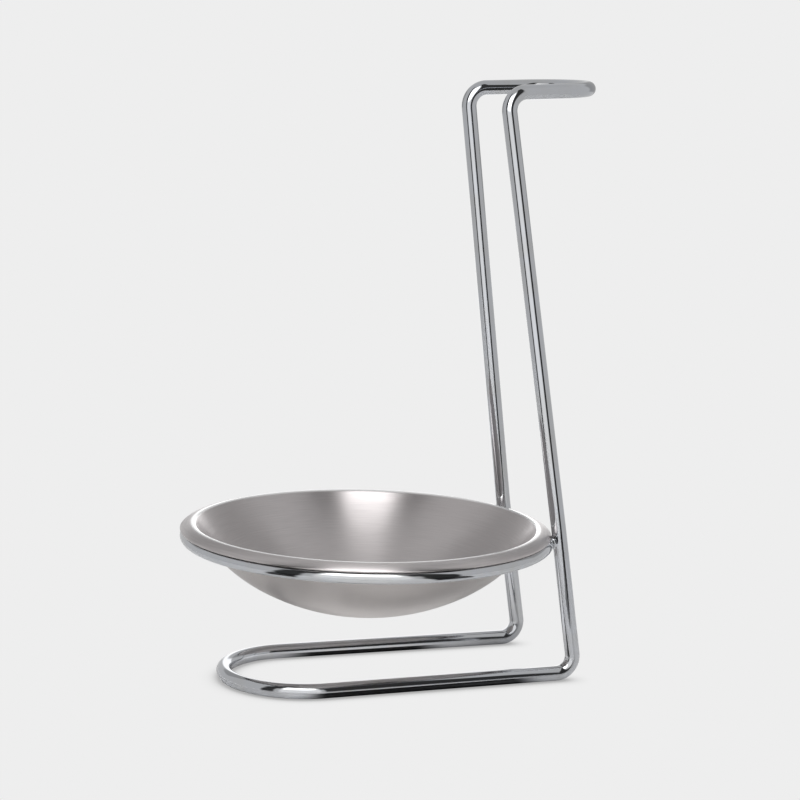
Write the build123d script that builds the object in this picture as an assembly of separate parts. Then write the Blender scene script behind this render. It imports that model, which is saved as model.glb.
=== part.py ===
from build123d import *
import os
from math import acos, atan2, cos, degrees, hypot, radians, sin, tan

# A counter-top razor stand: one closed loop of bent chrome wire makes the base, two leaning
# uprights and the hook; a wire ring is welded to the front of the uprights and a loose pressed
# dish hangs in that ring by its curled lip.
#
# Millimetres. +Z is up and X = 0 is the plane of symmetry. The dish is towards -Y, the hook
# opens towards +Y. The origin is on the ground, under the middle of the stand's box.

# --- driving dimensions: the frame's wire loop ---------------------------------------------
WIRE_D = 5.0            # diameter of the frame's wire
BASE_RUN = 89.5         # rear feet to the centre of the base's front bow, along Y
BASE_BOW_R = 25.6       # front bow of the base, to the wire's centreline
FOOT_HALF = 24.5        # half the distance between the two rear feet
FOOT_BEND_R = 5.7       # bend from a base leg into an upright
LOWER_LEAN = 8.9        # degrees that the uprights lean forward up to the knee
KNEE_Z = 51.7           # height at which the uprights turn inwards, just above the ring
KNEE_BEND_R = 60.0      # the slight bend there
UPPER_LEAN = 8.3        # degrees that they lean forward above the knee
TOP_HALF = 17.7         # half the distance between the uprights at their top corners
TOP_Z = 196.6           # height of the top corners
TOP_BEND_R = 6.0        # bend from an upright into a hook arm
ARM_RUN = 19.9          # length of a hook arm, from the top corner
ARM_TAPER = 4.0         # degrees that each arm closes inwards
HOOK_RISE = 2.1         # degrees that the hook climbs towards its tip

# --- driving dimensions: the ring ----------------------------------------------------------
RING_WIRE_D = 4.0
RING_R = 60.6           # ring radius, to the wire's centreline
RING_Z = 47.4           # height of the ring's centreline
SET_DOWN = 0.3          # depth that ring and upright sink into each other at a weld
WELD_R = 2.1            # reach of the metal squeezed out around a weld

# --- driving dimensions: the dish ----------------------------------------------------------
SHEET_T = 0.8           # thickness of the dish's sheet
DISH_POLE_Z = 22.05     # middle of the sheet at the dish's lowest point
DISH_CAP_R = 76.1       # shallow middle of the dish
DISH_CAP_TURN = 28.1    # degrees of that arc
DISH_WALL_R = 55.6      # steeper wall
DISH_WALL_TURN = 30.4   # degrees of that arc
CREST_R = 0.9           # tight fold at the top of the wall
LIP_R = 5.4             # lip that curls outwards and down over the ring
LIP_TURN = 47.3         # degrees of that arc
DISH_FORWARD = 0.4      # the dish hangs this far forward of the ring's centre

# --- worked out from them ------------------------------------------------------------------
WIRE_R = WIRE_D / 2
RING_WIRE_R = RING_WIRE_D / 2
ARM_IN = ARM_RUN * sin(radians(ARM_TAPER))
ARM_BACK = ARM_RUN * cos(radians(ARM_TAPER))
HOOK_R = (TOP_HALF - ARM_IN) / cos(radians(ARM_TAPER))
HOOK_RUN = ARM_BACK + HOOK_R * (1 - sin(radians(ARM_TAPER)))


def upright_y(z):
    """Y of an upright's centreline at a height, measured from the rear feet."""
    below = min(z, KNEE_Z) - WIRE_R
    above = max(z - KNEE_Z, 0)
    return -below * tan(radians(LOWER_LEAN)) - above * tan(radians(UPPER_LEAN))


def ring_y():
    """Y of the ring's centre, measured from the rear feet: the ring just sinks into both uprights."""
    reach = RING_R + RING_WIRE_R + WIRE_R - SET_DOWN
    return upright_y(RING_Z) - (reach**2 - FOOT_HALF**2) ** 0.5


def lip_reach():
    """Radius of the dish's outer edge."""
    wall_end = radians(DISH_CAP_TURN + DISH_WALL_TURN)
    cap_end = radians(DISH_CAP_TURN)
    radius = DISH_CAP_R * sin(cap_end) + DISH_WALL_R * (sin(wall_end) - sin(cap_end))
    return radius + CREST_R * sin(wall_end) + LIP_R * sin(radians(LIP_TURN)) + SHEET_T / 2


# The rear feet stand this far behind the origin, so that the origin is in the middle of the box.
HOOK_TIP_Y = upright_y(TOP_Z) + HOOK_RUN * cos(radians(HOOK_RISE))
LIP_FRONT_Y = ring_y() - DISH_FORWARD - lip_reach()
FEET_Y = -(HOOK_TIP_Y + WIRE_R + LIP_FRONT_Y) / 2
RING_Y = FEET_Y + ring_y()
DISH_Y = RING_Y - DISH_FORWARD


def base_bow():
    """Half of the base's front bow, from the plane of symmetry to where a leg leaves it."""
    leg_angle = degrees(atan2(FOOT_HALF, BASE_RUN) + acos(BASE_BOW_R / hypot(FOOT_HALF, BASE_RUN)))
    tip = Vector(0, FEET_Y - BASE_RUN - BASE_BOW_R, WIRE_R)
    return JernArc(start=tip, tangent=(1, 0, 0), radius=BASE_BOW_R, arc_size=180 - leg_angle)


def on_hook(x, run):
    """A point in the hook's sloping plane, at a distance along the slope from the top corners."""
    slope = radians(HOOK_RISE)
    return Vector(x, FEET_Y + upright_y(TOP_Z) + run * cos(slope), TOP_Z + run * sin(slope))


def half_loop():
    """Centreline of the wire on the +X side, from the base's front round to the hook's tip."""
    bow = base_bow()
    foot = Vector(FOOT_HALF, FEET_Y, WIRE_R)
    knee = Vector(FOOT_HALF, FEET_Y + upright_y(KNEE_Z), KNEE_Z)
    corner = on_hook(TOP_HALF, 0)
    arm_end = on_hook(TOP_HALF - ARM_IN, ARM_BACK)
    bends = (FOOT_BEND_R, KNEE_BEND_R, TOP_BEND_R)
    side = FilletPolyline(bow @ 1, foot, knee, corner, arm_end, radius=bends)
    hook = TangentArc(arm_end, on_hook(0, HOOK_RUN), tangent=arm_end - corner)
    return Wire([*bow.edges(), *side.edges(), *hook.edges()])


def make_frame_wire():
    """The closed loop: one half swept along its centreline, and its mirror image."""
    path = half_loop()
    # x_dir keeps the swept surface's seam away from the welds
    section = Plane(origin=path @ 0, x_dir=(0, 1, 0), z_dir=(1, 0, 0)) * Circle(WIRE_R)
    half = sweep(section, path=path)
    return half + mirror(half, about=Plane.YZ)


def make_ring(frame_wire):
    """The ring, with the two hollows that welding leaves where it sits against the uprights."""
    return Pos(0, RING_Y, RING_Z) * Torus(RING_R, RING_WIRE_R) - frame_wire


def weld_point(side):
    """Middle of the weld on one side: on the line from the ring's centre to the upright."""
    upright = Vector(side * FOOT_HALF, FEET_Y + upright_y(RING_Z), RING_Z)
    centre = Vector(0, RING_Y, RING_Z)
    reach = RING_R + RING_WIRE_R - SET_DOWN / 2
    return centre + (upright - centre).normalized() * reach


def make_weld(side, frame_wire, ring):
    """The collar of metal squeezed out between the ring and one upright."""
    where = weld_point(side)
    return Pos(where.X, where.Y, where.Z) * Sphere(WELD_R) - frame_wire - ring


def dish_skin(offset):
    """One face of the dish's sheet in section, from the axis to the lip, as arcs in a row."""
    arcs = []
    start, heading = Vector(0, DISH_POLE_Z + offset), Vector(1, 0)
    rises = ((DISH_CAP_R, DISH_CAP_TURN), (DISH_WALL_R, DISH_WALL_TURN))
    falls = ((CREST_R, DISH_CAP_TURN + DISH_WALL_TURN), (LIP_R, LIP_TURN))
    turns = [(radius - offset, turn) for radius, turn in rises]
    turns += [(radius + offset, -turn) for radius, turn in falls]
    for radius, turn in turns:
        arc = JernArc(start=start, tangent=heading, radius=radius, arc_size=turn)
        arcs.append(arc)
        start, heading = arc @ 1, arc % 1
    return arcs


def make_bowl():
    """The dish: its section turned about the dish's axis. The lip's edge is rounded."""
    top = dish_skin(SHEET_T / 2)
    under = dish_skin(-SHEET_T / 2)
    edge = TangentArc(top[-1] @ 1, under[-1] @ 1, tangent=top[-1] % 1)
    axis = Line(under[0] @ 0, top[0] @ 0)
    outline = [piece.edge() for piece in (*top, edge, *under, axis)]
    section = Plane.XZ * make_face(outline)
    return Pos(0, DISH_Y, 0) * revolve(section, axis=Axis.Z)


def build():
    """Every piece of the stand, by name."""
    frame_wire = make_frame_wire()
    ring = make_ring(frame_wire)
    return {
        "frame_wire": frame_wire,
        "bowl_ring": ring,
        "weld_left": make_weld(-1, frame_wire, ring),
        "weld_right": make_weld(1, frame_wire, ring),
        "bowl": make_bowl(),
    }


os.makedirs("parts", exist_ok=True)
for name, piece in build().items():
    export_step(piece, f"parts/{name}.step")
    box = piece.bounding_box()
    print(name, "volume", round(piece.volume, 1), "from", box.min, "to", box.max)
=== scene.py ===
from math import acos, atan2, cos, hypot, pi, radians, sin, tan

import bmesh
import bpy
from mathutils import Matrix, Vector, noise


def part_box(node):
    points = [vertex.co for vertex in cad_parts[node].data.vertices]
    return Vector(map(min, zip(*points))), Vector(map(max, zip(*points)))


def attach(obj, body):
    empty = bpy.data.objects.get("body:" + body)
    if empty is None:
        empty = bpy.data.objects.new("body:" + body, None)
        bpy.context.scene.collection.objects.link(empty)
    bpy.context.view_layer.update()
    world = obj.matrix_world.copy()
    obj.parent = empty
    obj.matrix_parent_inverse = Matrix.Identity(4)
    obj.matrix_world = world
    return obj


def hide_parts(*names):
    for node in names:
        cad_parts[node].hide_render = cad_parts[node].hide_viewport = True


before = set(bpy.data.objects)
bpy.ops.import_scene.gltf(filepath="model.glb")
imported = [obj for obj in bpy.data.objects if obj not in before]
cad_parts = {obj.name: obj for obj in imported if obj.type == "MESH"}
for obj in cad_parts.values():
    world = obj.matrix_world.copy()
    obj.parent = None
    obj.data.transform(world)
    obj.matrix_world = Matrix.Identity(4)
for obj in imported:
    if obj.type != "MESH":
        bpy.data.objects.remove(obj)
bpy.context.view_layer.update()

# A razor stand: a closed loop of bent chrome wire, a wire ring welded to its uprights and a loose
# brushed steel dish that hangs in the ring by its curled lip.
# Metres, in the CAD part's frame: +Z is up, X = 0 is the plane of symmetry, the dish is towards -Y.

MM = 0.001

# --- driving dimensions of the wire loop ---------------------------------------------------
BASE_RUN = 89.5 * MM        # rear feet to the centre of the base's front bow
BASE_BOW_R = 25.6 * MM      # front bow of the base
FOOT_HALF = 24.5 * MM       # half the distance between the rear feet
FOOT_BEND_R = 5.7 * MM
KNEE_Z = 51.7 * MM          # where the uprights turn inwards, just above the ring
KNEE_BEND_R = 60.0 * MM
LOWER_LEAN = radians(8.9)   # forward lean of the uprights below the knee
UPPER_LEAN = radians(8.3)   # and above it
TOP_HALF = 17.7 * MM        # half the distance between the top corners
TOP_Z = 196.6 * MM
TOP_BEND_R = 6.0 * MM
ARM_RUN = 19.9 * MM         # straight length of a hook arm
ARM_TAPER = radians(4.0)    # each arm closes inwards
HOOK_RISE = radians(2.1)    # climb of the hook's plane towards its tip

# --- driving dimensions of the dish's section ----------------------------------------------
SHEET_T = 0.8 * MM
CAP_R, CAP_TURN = 76.1 * MM, radians(28.1)          # shallow middle
WALL_R, WALL_TURN = 55.6 * MM, radians(30.4)        # steeper wall
CREST_R, CREST_TURN = 0.9 * MM, -(CAP_TURN + WALL_TURN)     # tight fold at the top of the wall
LIP_R, LIP_TURN = 5.4 * MM, radians(-47.3)          # lip that curls out and down

# --- read from the frame -------------------------------------------------------------------
WIRE_LOW, WIRE_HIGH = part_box("frame_wire")
RING_LOW, RING_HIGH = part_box("bowl_ring")
DISH_LOW, DISH_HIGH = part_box("bowl")
WIRE_R = (WIRE_HIGH.x - WIRE_LOW.x) / 2 - BASE_BOW_R
BOW_Y = WIRE_LOW.y + WIRE_R + BASE_BOW_R            # centre of the base's front bow
FEET_Y = BOW_Y + BASE_RUN
RING_WIRE_R = (RING_HIGH.z - RING_LOW.z) / 2
RING_R = (RING_HIGH.x - RING_LOW.x) / 2 - RING_WIRE_R
RING_CENTRE = Vector((0, RING_LOW.y + RING_WIRE_R + RING_R, (RING_HIGH.z + RING_LOW.z) / 2))
DISH_CENTRE = Vector((0, (DISH_LOW.y + DISH_HIGH.y) / 2, 0))
DISH_POLE_Z = DISH_LOW.z + SHEET_T / 2
WALL_END = CAP_R * sin(CAP_TURN) + WALL_R * (sin(CAP_TURN + WALL_TURN) - sin(CAP_TURN))
CREST_AT = WALL_END + CREST_R * sin(-CREST_TURN)    # radius at which the dish is highest

AROUND = 56                 # points round a wire
BEND_STEP = radians(2.0)    # turn between two sections of a bend


# --- centreline of the wire loop -----------------------------------------------------------
def upright_y(z):
    """Y of an upright's centreline at a height."""
    below = min(z, KNEE_Z) - WIRE_R
    above = max(z - KNEE_Z, 0)
    return FEET_Y - below * tan(LOWER_LEAN) - above * tan(UPPER_LEAN)


def on_hook(x, run):
    """A point in the hook's sloping plane, at a distance along the slope from the top corners."""
    return Vector((x, upright_y(TOP_Z) + run * cos(HOOK_RISE), TOP_Z + run * sin(HOOK_RISE)))


def arc_steps(turn):
    return max(2, round(abs(turn) / BEND_STEP))


def rounded_corner(before, corner, after, radius):
    """Points of the arc that takes a bend at a corner, tangent to both runs."""
    into, away = (corner - before).normalized(), (after - corner).normalized()
    turn = into.angle(away)
    setback = radius * tan(turn / 2)
    start = corner - into * setback
    towards_centre = (away - into * into.dot(away)).normalized()
    steps = arc_steps(turn)
    angles = [turn * i / steps for i in range(steps + 1)]
    return [start + into * radius * sin(a) + towards_centre * radius * (1 - cos(a)) for a in angles]


def half_loop():
    """Centreline on the +X side, from the base's front round to the hook's tip."""
    leg = hypot(FOOT_HALF, BASE_RUN)
    bow_end = pi / 2 - atan2(FOOT_HALF, BASE_RUN) - acos(BASE_BOW_R / leg)
    steps = arc_steps(bow_end + pi / 2)
    bow_angles = [-pi / 2 + (bow_end + pi / 2) * i / steps for i in range(steps + 1)]
    bow = [Vector((BASE_BOW_R * cos(a), BOW_Y + BASE_BOW_R * sin(a), WIRE_R)) for a in bow_angles]

    hook_r = (TOP_HALF - ARM_RUN * sin(ARM_TAPER)) / cos(ARM_TAPER)
    hook_middle = ARM_RUN * cos(ARM_TAPER) - hook_r * sin(ARM_TAPER)
    steps = arc_steps(pi / 2 - ARM_TAPER)
    hook_angles = [ARM_TAPER + (pi / 2 - ARM_TAPER) * i / steps for i in range(steps + 1)]
    hook = [on_hook(hook_r * cos(a), hook_middle + hook_r * sin(a)) for a in hook_angles]

    foot = Vector((FOOT_HALF, FEET_Y, WIRE_R))
    knee = Vector((FOOT_HALF, upright_y(KNEE_Z), KNEE_Z))
    corner = on_hook(TOP_HALF, 0)
    side = rounded_corner(bow[-1], foot, knee, FOOT_BEND_R)
    side += rounded_corner(foot, knee, corner, KNEE_BEND_R)
    side += rounded_corner(knee, corner, hook[0], TOP_BEND_R)
    return bow + side + hook


# --- meshes --------------------------------------------------------------------------------
def mesh_object(name, points, faces):
    mesh = bpy.data.meshes.new(name)
    mesh.from_pydata([tuple(p) for p in points], [], faces)
    mesh.validate()
    mesh.shade_smooth()
    made = bpy.data.objects.new(name, mesh)
    bpy.context.scene.collection.objects.link(made)
    return made


def grid_faces(rows, columns, closed_rows):
    """Quads between rows of points, each row closed on itself."""
    faces = []
    for i in range(rows if closed_rows else rows - 1):
        here, there = i * columns, (i + 1) % rows * columns
        for j in range(columns):
            k = (j + 1) % columns
            faces.append((here + j, there + j, there + k, here + k))
    return faces


def loop_tube(name, half, radius):
    """A wire along half a loop that starts and ends in the plane X = 0, and along its mirror image."""
    last = len(half) - 1
    tangents = [(half[min(i + 1, last)] - half[max(i - 1, 0)]).normalized() for i in range(last + 1)]
    tangents[0], tangents[-1] = Vector((1, 0, 0)), Vector((-1, 0, 0))
    across = Vector((0, 1, 0))
    rings = []
    for i, (centre, tangent) in enumerate(zip(half, tangents)):
        if i:
            across = tangents[i - 1].rotation_difference(tangent) @ across
        across = (across - tangent * across.dot(tangent)).normalized()
        up = tangent.cross(across)
        turns = [2 * pi * j / AROUND for j in range(AROUND)]
        rings.append([centre + (across * cos(t) + up * sin(t)) * radius for t in turns])
    mirrored = [[Vector((-p.x, p.y, p.z)) for p in ring] for ring in reversed(rings[1:-1])]
    points = [p for ring in rings + mirrored for p in ring]
    return mesh_object(name, points, grid_faces(len(rings) + len(mirrored), AROUND, True))


def ring_tube(name, centre, ring_r, wire_r, steps=360):
    points = []
    for i in range(steps):
        a = 2 * pi * i / steps
        outward = Vector((cos(a), sin(a), 0))
        for j in range(AROUND):
            t = 2 * pi * j / AROUND
            points.append(centre + outward * (ring_r + wire_r * cos(t)) + Vector((0, 0, wire_r * sin(t))))
    return mesh_object(name, points, grid_faces(steps, AROUND, True))


def weld_nugget(name, side):
    """Metal squeezed out where the ring meets an upright: it fills the creases between the two wires."""
    upright = Vector((side * FOOT_HALF, upright_y(RING_CENTRE.z), RING_CENTRE.z))
    along_upright = Vector((0, -tan(LOWER_LEAN), 1)).normalized()
    outward = (upright - RING_CENTRE).normalized()
    middle = RING_CENTRE + outward * (RING_R + RING_WIRE_R)
    crease = 1.5 * MM       # reach over which the two wires' surfaces run into each other
    sink = 0.03 * MM        # depth below the wires' own surfaces beyond that reach
    reach = 3.2 * MM

    def gap(p):
        """Distance from a point to the melted joint's surface, negative inside."""
        flat = Vector((p.x - RING_CENTRE.x, p.y - RING_CENTRE.y, 0))
        to_ring = hypot(flat.length - RING_R, p.z - RING_CENTRE.z) - RING_WIRE_R
        off = p - upright
        to_upright = (off - along_upright * off.dot(along_upright)).length - WIRE_R
        h = max(0.0, crease - abs(to_ring - to_upright)) / crease
        melt = h * h * crease / 4
        ripple = 0.10 * MM * h * noise.noise(p / (1.1 * MM) + Vector((7 * side, 0, 0)))
        return min(to_ring, to_upright) - melt - ripple + sink

    sphere = bpy.data.meshes.new("sphere")
    ball = bmesh.new()
    bmesh.ops.create_icosphere(ball, subdivisions=5, radius=1.0)
    for v in ball.verts:
        direction = v.co.normalized()
        near, far = 0.0, reach
        if gap(middle + direction * reach) > 0:
            for _ in range(24):
                mid = (near + far) / 2
                if gap(middle + direction * mid) > 0:
                    far = mid
                else:
                    near = mid
        v.co = middle + direction * far
    ball.to_mesh(sphere)
    ball.free()
    sphere.shade_smooth()
    made = bpy.data.objects.new(name, sphere)
    bpy.context.scene.collection.objects.link(made)
    return made


def dish_skin(offset, step):
    """One face of the dish's sheet in section: (radius, height) from the axis out to the lip."""
    r, z, heading = 0.0, DISH_POLE_Z + offset, 0.0
    points = [(r, z)]
    for radius, turn in ((CAP_R, CAP_TURN), (WALL_R, WALL_TURN), (CREST_R, CREST_TURN), (LIP_R, LIP_TURN)):
        sign = 1 if turn > 0 else -1
        real = radius - sign * offset
        centre_r, centre_z = r - sign * real * sin(heading), z + sign * real * cos(heading)
        steps = max(10, round(real * abs(turn) / step))
        for i in range(1, steps + 1):
            a = heading + turn * i / steps
            points.append((centre_r + sign * real * sin(a), centre_z - sign * real * cos(a)))
        (r, z), heading = points[-1], heading + turn
    return points, heading


def make_dish(name, turns=288, step=0.6 * MM):
    """The dish: its section turned about its axis, with a rounded edge to the lip."""
    top, heading = dish_skin(SHEET_T / 2, step)
    under, _ = dish_skin(-SHEET_T / 2, step)
    middle = Vector(((top[-1][0] + under[-1][0]) / 2, (top[-1][1] + under[-1][1]) / 2))
    edge = []
    for i in range(1, 8):
        a = heading + pi / 2 - pi * i / 8
        edge.append((middle.x + SHEET_T / 2 * cos(a), middle.y + SHEET_T / 2 * sin(a)))
    section = top[1:] + edge + under[:0:-1]
    points = []
    for r, z in section:
        for j in range(turns):
            a = 2 * pi * j / turns
            points.append(DISH_CENTRE + Vector((r * cos(a), r * sin(a), z)))
    faces = [tuple(reversed(f)) for f in grid_faces(len(section), turns, False)]
    poles = len(points), len(points) + 1
    points += [DISH_CENTRE + Vector((0, 0, top[0][1])), DISH_CENTRE + Vector((0, 0, under[0][1]))]
    last = (len(section) - 1) * turns
    for j in range(turns):
        k = (j + 1) % turns
        faces.append((poles[0], j, k))
        faces.append((poles[1], last + k, last + j))
    return mesh_object(name, points, faces)


# --- node helpers --------------------------------------------------------------------------
class Graph:
    """Adds nodes to a tree and joins them: an input may be a number, a colour or a node's output."""

    def __init__(self, tree):
        self.tree = tree
        tree.nodes.clear()

    def add(self, kind, inputs=None, **settings):
        made = self.tree.nodes.new("ShaderNode" + kind)
        for key, value in settings.items():
            setattr(made, key, value)
        for key, value in (inputs or {}).items():
            self.join(made.inputs[key], value)
        return made

    def join(self, socket, value):
        if isinstance(value, bpy.types.NodeSocket):
            self.tree.links.new(value, socket)
        else:
            socket.default_value = value

    def math(self, operation, *values):
        inputs = dict(enumerate(values))
        return self.add("Math", inputs, operation=operation).outputs[0]

    def ramp(self, value, low, high, to_low=0.0, to_high=1.0):
        inputs = {"Value": value, "From Min": low, "From Max": high, "To Min": to_low, "To Max": to_high}
        return self.add("MapRange", inputs, interpolation_type="SMOOTHSTEP").outputs["Result"]

    def between(self, value, low, high, soft):
        """1 between two limits and 0 outside them, with edges as wide as soft."""
        rise = self.ramp(value, low - soft / 2, low + soft / 2)
        fall = self.ramp(value, high - soft / 2, high + soft / 2, 1.0, 0.0)
        return self.math("MULTIPLY", rise, fall)

    def mix(self, share, a, b):
        made = self.add("Mix", data_type="RGBA")
        self.join(made.inputs["Factor"], share)
        self.join(made.inputs[6], a)
        self.join(made.inputs[7], b)
        return made.outputs[2]


def new_material(name):
    made = bpy.data.materials.new(name)
    made.use_nodes = True
    return made, Graph(made.node_tree)


def grey(level, warmth=0.0):
    return (level * (1 + warmth), level, level * (1 - warmth), 1.0)


def tinted(colour, red, green, blue):
    return (colour[0] * red, colour[1] * green, colour[2] * blue, 1.0)


# --- materials -----------------------------------------------------------------------------
def chrome(name, colour, roughness, haze, grain):
    """Polished chrome plate: faint haze, orange-peel ripple and a few pits. grain is the ripple's depth."""
    made, g = new_material(name)
    place = g.add("TexCoord").outputs["Object"]
    ripple = g.add("TexNoise", {"Vector": place, "Scale": 420.0, "Detail": 3.0, "Roughness": 0.55})
    cloud = g.add("TexNoise", {"Vector": place, "Scale": 90.0, "Detail": 4.0, "Roughness": 0.6})
    pits = g.add("TexVoronoi", {"Vector": place, "Scale": 520.0, "Randomness": 1.0})
    pit = g.ramp(pits.outputs["Distance"], 0.05, 0.12, 1.0, 0.0)
    rough = g.ramp(cloud.outputs["Fac"], 0.35, 0.7, roughness, roughness + haze)
    rough = g.math("ADD", rough, g.math("MULTIPLY", pit, 0.12))
    height = g.math("SUBTRACT", ripple.outputs["Fac"], g.math("MULTIPLY", pit, 0.5))
    bump = g.add("Bump", {"Height": height, "Strength": 1.0, "Distance": grain})
    tint = g.mix(g.ramp(cloud.outputs["Fac"], 0.3, 0.75), colour, grey(colour[1] * 0.93, -0.01))
    shader = g.add("BsdfPrincipled", {"Base Color": tint, "Metallic": 1.0, "Roughness": rough,
                                      "Normal": bump.outputs["Normal"]})
    g.add("OutputMaterial", {"Surface": shader.outputs["BSDF"]})
    return made


def brushed_steel(name, colour):
    """Satin stainless steel brushed in rings about the dish's axis."""
    made, g = new_material(name)
    spot = g.add("TexCoord").outputs["Object"]
    place = g.add("VectorMath", {0: spot, 1: DISH_CENTRE}, operation="SUBTRACT")
    split = g.add("SeparateXYZ", {"Vector": place.outputs["Vector"]})
    x, y, z = (split.outputs[i] for i in range(3))
    radius = g.math("SQRT", g.math("ADD", g.math("MULTIPLY", x, x), g.math("MULTIPLY", y, y)))
    across = g.math("ADD", radius, g.math("MULTIPLY", z, 0.8))
    flat = g.add("CombineXYZ", {0: x, 1: y, 2: 0.0})
    around = g.add("VectorMath", {0: flat.outputs[0]}, operation="NORMALIZE").outputs["Vector"]
    ring = g.add("SeparateXYZ", {"Vector": around})

    def lines(per_metre, wander, detail):
        """Noise drawn out round the axis: rings a metre / per_metre apart."""
        where = g.add("CombineXYZ", {0: g.math("MULTIPLY", ring.outputs[0], wander),
                                     1: g.math("MULTIPLY", ring.outputs[1], wander),
                                     2: g.math("MULTIPLY", across, per_metre)})
        noise_here = {"Vector": where.outputs[0], "Scale": 1.0, "Detail": detail}
        return g.add("TexNoise", noise_here).outputs["Fac"]

    fine = lines(6500.0, 5.0, 2.0)
    coarse = lines(420.0, 0.8, 3.0)
    patches = {"Vector": place.outputs["Vector"], "Scale": 45.0, "Detail": 4.0}
    worn = g.add("TexNoise", patches).outputs["Fac"]
    height = g.math("ADD", g.math("MULTIPLY", fine, 0.25), coarse)
    bump = g.add("Bump", {"Height": height, "Strength": 1.0, "Distance": 0.012 * MM})
    rough = g.ramp(fine, 0.3, 0.7, 0.30, 0.36)
    rough = g.math("ADD", rough, g.ramp(worn, 0.4, 0.7, 0.0, 0.05))
    shade = g.mix(g.ramp(fine, 0.3, 0.72), colour, tinted(colour, 0.9, 0.9, 0.9))

    # the underside is painted darker as shade, and the fold at the crest is painted lighter as a highlight
    # and rubbed smoother
    facing = g.add("SeparateXYZ", {"Vector": g.add("NewGeometry").outputs["Normal"]}).outputs["Z"]
    # painted shade: steel that faces downwards is darkened
    under = g.ramp(facing, -0.35, -0.10, 1.0, 0.0)
    shade = g.mix(under, shade, tinted(colour, 0.92, 0.92, 0.90))

    fold = g.math("ABSOLUTE", g.math("SUBTRACT", radius, CREST_AT))
    top = g.ramp(z, 50.0 * MM, 51.0 * MM)
    # painted highlight: the crest fold is lightened; its lower roughness is rubbed wear
    crest_highlight_and_wear = g.math("MULTIPLY", g.ramp(fold, 0.5 * MM, 1.1 * MM, 1.0, 0.0), top)
    shade = g.mix(crest_highlight_and_wear, shade, grey(0.93))
    rough = g.math("SUBTRACT", rough, g.math("MULTIPLY", crest_highlight_and_wear, 0.10))

    tangent = g.add("Tangent", direction_type="RADIAL", axis="Z").outputs["Tangent"]
    shader = g.add("BsdfPrincipled", {"Base Color": shade, "Metallic": 1.0, "Roughness": rough,
                                      "Anisotropic": 0.85, "Anisotropic Rotation": 0.25,
                                      "Normal": bump.outputs["Normal"], "Tangent": tangent})
    g.add("OutputMaterial", {"Surface": shader.outputs["BSDF"]})
    return made


# --- stage ---------------------------------------------------------------------------------
PAPER = 0.855               # the pale backdrop, as light that reaches the camera
CAMERA_AZIMUTH = radians(69.772)
CAMERA_ELEVATION = radians(9.185)
CAMERA_ROLL = radians(1.597)
CAMERA_AIM = Vector((0, FEET_Y - 56.538 * MM, 93.442 * MM))
CAMERA_DISTANCE = 833.93 * MM
CAMERA_LENS = 112.317

FLOOR_R = 300 * MM
TENT_R = 340 * MM
TENT_MIDDLE = Vector((0, 0, 90 * MM))
SHADOW_REACH = 7 * MM       # how far from a wire the floor still darkens
LEFT_FLAG = -51, -35, 4     # black flags: degrees right of the lens (from, to, soft edge)
RIGHT_FLAG = 31, 53, 4
CARDS_START = 80 * MM       # the flags' feet on the table: nothing nearer the origin than this
CARDS_FULL = 100 * MM       # and full strength from here on
# painted shadow: dark bands on the table along the base legs, for their contact shadow: X, then Y (from,
# to, soft edge)
NEAR_LEG_SHADOW = (25 * MM, 34 * MM, 1 * MM), (BOW_Y - 5 * MM, FEET_Y - 16 * MM, 12 * MM)
FAR_LEG_SHADOW = (-25 * MM, -20 * MM, 1 * MM), (BOW_Y + 5 * MM, FEET_Y - 32 * MM, 16 * MM)


def make_camera():
    a, e, r = CAMERA_AZIMUTH, CAMERA_ELEVATION, CAMERA_ROLL
    back = Vector((sin(a) * cos(e), -cos(a) * cos(e), sin(e)))
    level = Vector((cos(a), sin(a), 0))
    upright = back.cross(level)
    right = level * cos(r) + upright * sin(r)
    up = upright * cos(r) - level * sin(r)
    data = bpy.data.cameras.new("camera")
    data.lens, data.sensor_width = CAMERA_LENS, 36.0
    data.clip_start, data.clip_end = 0.01, 100.0
    made = bpy.data.objects.new("camera", data)
    turn = Matrix((right, up, back)).transposed().to_4x4()
    made.matrix_world = Matrix.Translation(CAMERA_AIM + back * CAMERA_DISTANCE) @ turn
    bpy.context.scene.collection.objects.link(made)
    bpy.context.scene.camera = made


def bearing(g, place):
    """Degrees right of the lens at which a point lies, about the upright line through the origin."""
    a = CAMERA_AZIMUTH
    towards = g.add("VectorMath", {0: place, 1: (sin(a), -cos(a), 0)}, operation="DOT_PRODUCT")
    rightwards = g.add("VectorMath", {0: place, 1: (cos(a), sin(a), 0)}, operation="DOT_PRODUCT")
    return g.math("DEGREES", g.math("ARCTAN2", rightwards.outputs["Value"], towards.outputs["Value"]))


def cards_and_leg_shadow(g, place):
    """1 on the black card that lies on the table at the feet of both flags, and on the painted shadow along
    each base leg.
    """
    side = bearing(g, place)
    flags = g.math("ADD", g.between(side, *LEFT_FLAG), g.between(side, *RIGHT_FLAG))
    away = g.add("VectorMath", {0: place}, operation="LENGTH").outputs["Value"]
    cards_and_shadow = g.math("MULTIPLY", flags, g.ramp(away, CARDS_START, CARDS_FULL))
    spot = g.add("SeparateXYZ", {"Vector": place})
    # painted shadow: a dark band by each base leg stands in for its contact shadow
    for across, along in (NEAR_LEG_SHADOW, FAR_LEG_SHADOW):
        beside = g.between(spot.outputs["X"], *across)
        leg_shadow = g.math("MULTIPLY", beside, g.between(spot.outputs["Y"], *along))
        cards_and_shadow = g.math("MAXIMUM", cards_and_shadow, leg_shadow)
    return cards_and_shadow


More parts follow.
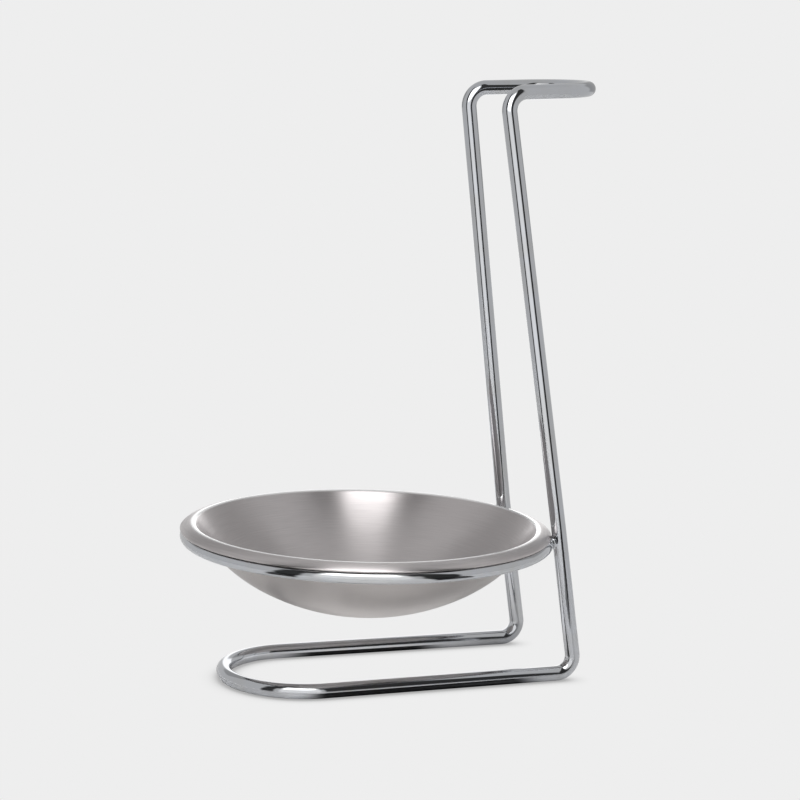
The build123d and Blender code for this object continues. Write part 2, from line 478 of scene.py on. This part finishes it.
def make_floor():
    """A small pale table, the colour of the backdrop. The lens sees it evenly lit, with a painted shadow
    only in the crevice under a wire. The metal sees glossy paper that glows as painted light, most near the
    middle, with painted shade near the wires, black card at the flags' feet and painted shadows along the
    base legs."""
    rim = [Vector((cos(2 * pi * i / 96), sin(2 * pi * i / 96), 0)) * FLOOR_R for i in range(96)]
    floor = mesh_object("floor", rim, [tuple(range(96))])
    made, g = new_material("floor_paper")
    # painted shadow: the evenly glowing paper the lens sees is darkened near the wires
    crevice = g.add("AmbientOcclusion", {"Distance": SHADOW_REACH}, samples=12).outputs["AO"]
    glow = g.add("Emission", {"Color": grey(PAPER), "Strength": g.ramp(crevice, 0.25, 0.97, 0.5, 1.0)})

    place = g.add("TexCoord").outputs["Object"]
    away = g.add("VectorMath", {0: place}, operation="LENGTH").outputs["Value"]
    cards_and_shadow = cards_and_leg_shadow(g, place)
    # painted light: the paper glows, most under the dish, and the glow is painted darker near the wires as
    # shade
    painted_glow = g.math("MULTIPLY", g.ramp(away, 15 * MM, 60 * MM, 0.60, 0.06),
                       g.ramp(crevice, 0.0, 0.8, 0.3, 1.0))
    painted_glow = g.math("MULTIPLY", painted_glow, g.math("SUBTRACT", 1.0, cards_and_shadow))
    # the paper is near black on the card and on the painted leg shadows
    colour = g.mix(cards_and_shadow, grey(0.88), grey(0.03))
    paper = g.add("BsdfPrincipled", {"Base Color": colour, "Roughness": 0.04, "IOR": 1.5,
                                     "Emission Color": grey(1.0), "Emission Strength": painted_glow})
    seen = g.add("MixShader", {0: g.add("LightPath").outputs["Is Camera Ray"],
                               1: paper.outputs["BSDF"], 2: glow.outputs["Emission"]})
    g.add("OutputMaterial", {"Surface": seen.outputs["Shader"]})
    floor.data.materials.append(made)


def make_tent():
    """A light tent close round the stand, which only the metal sees: grey paper under a dim ceiling,
    with a bright backdrop behind, a tall soft light in front and a black flag on each side of it."""
    tent = bpy.data.meshes.new("tent")
    ball = bmesh.new()
    bmesh.ops.create_uvsphere(ball, u_segments=96, v_segments=64, radius=TENT_R)
    bmesh.ops.translate(ball, vec=TENT_MIDDLE, verts=ball.verts)
    ball.to_mesh(tent)
    ball.free()
    shell = bpy.data.objects.new("tent", tent)
    bpy.context.scene.collection.objects.link(shell)
    shell.visible_camera = False

    made, g = new_material("tent_light")
    place = g.add("TexCoord").outputs["Object"]
    way = g.add("VectorMath", {0: place, 1: TENT_MIDDLE}, operation="SUBTRACT").outputs["Vector"]
    way = g.add("VectorMath", {0: way}, operation="NORMALIZE").outputs["Vector"]
    height = g.add("SeparateXYZ", {"Vector": way}).outputs["Z"]
    side = bearing(g, way)
    off_axis = g.math("ABSOLUTE", side)
    climb = g.math("DEGREES", g.math("ARCSINE", height))

    colour = grey(0.66)
    # brightness, degrees right of the camera (from, to, soft edge), degrees above level (the same);
    # past 90 degrees a panel is on both sides
    for level, sides, climbs in (
        (0.62, (-200, 200, 1), (60, 100, 14)),          # ceiling
        (0.42, (118, 163, 10), (9, 44, 6)),             # dim corners of the room behind, on either side
        (1.60, (162, 200, 8), (-40, 7, 6)),             # backdrop
        (1.18, (-28, 25, 6), (-40, 66, 8)),             # tall diffuser in front
        (4.20, (-27, 20, 6), (22, 60, 14)),             # softbox over the camera
        (0.05, LEFT_FLAG, (-40, 30, 6)),                # black flag on the left
        (0.04, RIGHT_FLAG, (-40, 24, 6)),               # black flag on the right
        (0.05, (-56, -30, 5), (26, 74, 8)),             # their broader tops
        (0.05, (26, 51, 5), (20, 74, 8)),
    ):
        across = off_axis if sides[0] > 90 else side
        here = g.math("MULTIPLY", g.between(across, *sides), g.between(climb, *climbs))
        colour = g.mix(here, colour, grey(level))
    glow = g.add("Emission", {"Color": colour, "Strength": 1.0})
    g.add("OutputMaterial", {"Surface": glow.outputs["Emission"]})
    shell.data.materials.append(made)


def make_background():
    world = bpy.data.worlds.new("paper")
    world.use_nodes = True
    bpy.context.scene.world = world
    g = Graph(world.node_tree)
    light = g.add("Background", {"Color": grey(PAPER), "Strength": 1.0})
    g.add("OutputWorld", {"Surface": light.outputs["Background"]})


# --- the pieces ----------------------------------------------------------------------------
def fit(piece, body, node, material):
    """Puts a finished piece in place of its CAD node."""
    piece.data.materials.append(material)
    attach(piece, body)
    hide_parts(node)


plate = chrome("chrome_plate", (0.545, 0.56, 0.592, 1.0), 0.03, 0.05, 0.0025 * MM)
weld_plate = chrome("weld_plate", (0.50, 0.515, 0.545, 1.0), 0.10, 0.10, 0.02 * MM)
steel = brushed_steel("dish_steel", (0.575, 0.545, 0.545, 1.0))

fit(loop_tube("wire_loop", half_loop(), WIRE_R), "frame", "frame_wire", plate)
fit(ring_tube("dish_ring", RING_CENTRE, RING_R, RING_WIRE_R), "frame", "bowl_ring", plate)
fit(weld_nugget("left_weld", -1), "frame", "weld_left", weld_plate)
fit(weld_nugget("right_weld", 1), "frame", "weld_right", weld_plate)
fit(make_dish("dish"), "bowl", "bowl", steel)

make_floor()
make_tent()
make_background()
make_camera()
bpy.context.scene.view_settings.view_transform = "Standard"
